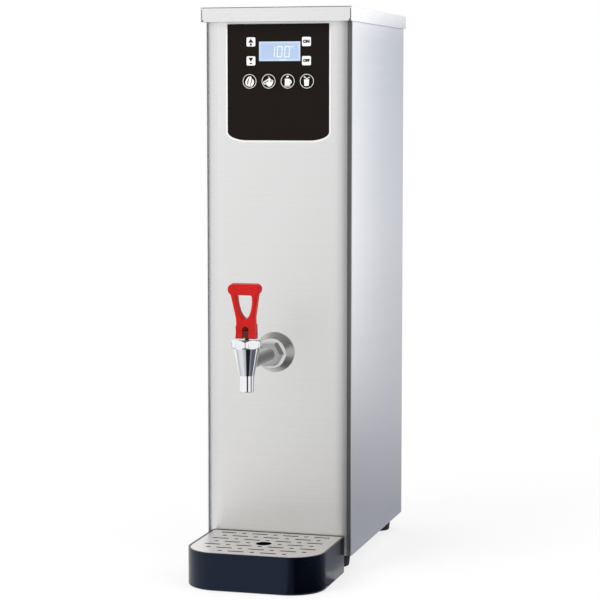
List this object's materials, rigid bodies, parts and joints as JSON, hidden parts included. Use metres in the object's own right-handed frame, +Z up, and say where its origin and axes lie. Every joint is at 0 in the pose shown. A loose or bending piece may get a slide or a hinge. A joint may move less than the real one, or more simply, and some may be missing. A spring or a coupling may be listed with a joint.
{
  "type": "water boiler",
  "caption": "Tall countertop water boiler with a brushed steel case, a key panel with a display, a pull lever tap and a removable drip tray with a slotted grate.",
  "frame": {"origin": "middle of the whole footprint, tap and rear fittings included, on the counter that the feet stand on", "axes": "+Z up, -Y out of the front panel towards the user, +X to the user's right"},
  "size_m": [0.1968, 0.4592, 0.717],
  "materials": {
    "brushed_front": "satin brushed",
    "brushed_side": "satin brushed",
    "lid_steel": "satin",
    "galvanised": "dull zinc",
    "screw_steel": "bright",
    "black_rubber": "matt",
    "white_print": "satin",
    "black_overlay": "gloss",
    "display_blue": "lit panel",
    "white_key": "satin",
    "black_key": "gloss",
    "circuit_board": "solder mask",
    "dark_plastic": "moulded",
    "tray_plastic": "moulded navy black",
    "grate_steel": "satin",
    "chrome": "polished",
    "satin_chrome": "satin",
    "red_plastic": "gloss",
    "silicone": "translucent",
    "spring_steel": "drawn wire",
    "tank_steel": "drawn",
    "foam": "closed cell foam",
    "brass": "turned",
    "element_metal": "heat tinted",
    "white_nylon": "moulded",
    "grey_plastic": "moulded"
  },
  "bodies": {
    "case": {"base_plate": "galvanised", "left_side_panel": "brushed_side", "right_side_panel": "brushed_side", "front_panel": "brushed_front", "rear_panel": "brushed_side", "lid": "lid_steel", "case_screws": "screw_steel", "feet": "black_rubber", "foot_screws": "screw_steel", "panel_carrier": "white_print", "panel_overlay": "black_overlay", "display_window": "display_blue", "lcd_module": "grey_plastic", "control_board": "circuit_board", "board_pillars": "white_nylon", "key_switches": "dark_plastic", "tap_body": "chrome", "tap_shank": "chrome", "tap_bonnet": "chrome", "tap_spring": "spring_steel", "escutcheon": "satin_chrome", "tap_nut": "chrome", "tap_spacer": "white_nylon", "tap_seal": "silicone", "tap_locknut": "brass", "tank": "tank_steel", "tank_gasket": "silicone", "tank_lid": "tank_steel", "tank_lid_bolts": "screw_steel", "tank_jacket": "foam", "tank_stand": "galvanised", "heating_element": "element_metal", "element_nut": "brass", "temperature_probe": "tank_steel", "level_probes": "tank_steel", "safety_thermostat": "dark_plastic", "inlet_valve": "white_nylon", "fill_hose": "silicone", "overflow_elbow": "grey_plastic", "overflow_hose": "silicone", "cord_gland": "dark_plastic", "power_board": "circuit_board", "power_pillars": "white_nylon", "power_components": "dark_plastic", "terminal_block": "white_nylon", "wiring_loom": "dark_plastic"},
    "drip_tray": {"drip_tray": "tray_plastic"},
    "drip_grate": {"drip_grate": "grate_steel"},
    "tap_stem": {"tap_stem": "chrome", "seat_cup": "silicone"},
    "tap_lever": {"tap_lever": "red_plastic", "tap_pin": "screw_steel"},
    "key_up": {"key_up": "white_key"},
    "key_down": {"key_down": "white_key"},
    "key_on": {"key_on": "white_key"},
    "key_off": {"key_off": "white_key"},
    "key_bean": {"key_bean": "black_key"},
    "key_hot_cup": {"key_hot_cup": "black_key"},
    "key_mug": {"key_mug": "black_key"},
    "key_glass": {"key_glass": "black_key"}
  },
  "joints": [
    {"name": "tray_slide", "type": "slide", "parent": "case", "child": "drip_tray", "axis": [0, -1, 0], "range_m": [0, 0.15]},
    {"name": "grate_lift", "type": "slide", "parent": "drip_tray", "child": "drip_grate", "axis": [0, 0, 1], "range_m": [0, 0.06]},
    {"name": "stem_lift", "type": "slide", "parent": "case", "child": "tap_stem", "axis": [0, 0, 1], "range_m": [0, 0.002], "deforming": ["tap_spring"]},
    {"name": "lever_tilt", "type": "hinge", "parent": "tap_stem", "child": "tap_lever", "pos_m": [-0.0045, -0.20944, 0.3196], "axis": [1, 0, 0], "range_deg": [0, 35], "stiffness_Nm_per_rad": 0.15, "springref_deg": -20.05},
    {"name": "press_up", "type": "slide", "parent": "case", "child": "key_up", "axis": [0, 1, 0], "range_m": [0, 0.0006], "stiffness_N_per_m": 200, "springref_m": -0.003},
    {"name": "press_down", "type": "slide", "parent": "case", "child": "key_down", "axis": [0, 1, 0], "range_m": [0, 0.0006], "stiffness_N_per_m": 200, "springref_m": -0.003},
    {"name": "press_on", "type": "slide", "parent": "case", "child": "key_on", "axis": [0, 1, 0], "range_m": [0, 0.0006], "stiffness_N_per_m": 200, "springref_m": -0.003},
    {"name": "press_off", "type": "slide", "parent": "case", "child": "key_off", "axis": [0, 1, 0], "range_m": [0, 0.0006], "stiffness_N_per_m": 200, "springref_m": -0.003},
    {"name": "press_bean", "type": "slide", "parent": "case", "child": "key_bean", "axis": [0, 1, 0], "range_m": [0, 0.0006], "stiffness_N_per_m": 200, "springref_m": -0.003},
    {"name": "press_hot_cup", "type": "slide", "parent": "case", "child": "key_hot_cup", "axis": [0, 1, 0], "range_m": [0, 0.0006], "stiffness_N_per_m": 200, "springref_m": -0.003},
    {"name": "press_mug", "type": "slide", "parent": "case", "child": "key_mug", "axis": [0, 1, 0], "range_m": [0, 0.0006], "stiffness_N_per_m": 200, "springref_m": -0.003},
    {"name": "press_glass", "type": "slide", "parent": "case", "child": "key_glass", "axis": [0, 1, 0], "range_m": [0, 0.0006], "stiffness_N_per_m": 200, "springref_m": -0.003}
  ],
  "couplings": [
    {"joint": "stem_lift", "follows": "lever_tilt", "m_per_rad": 0.003274}
  ]
}
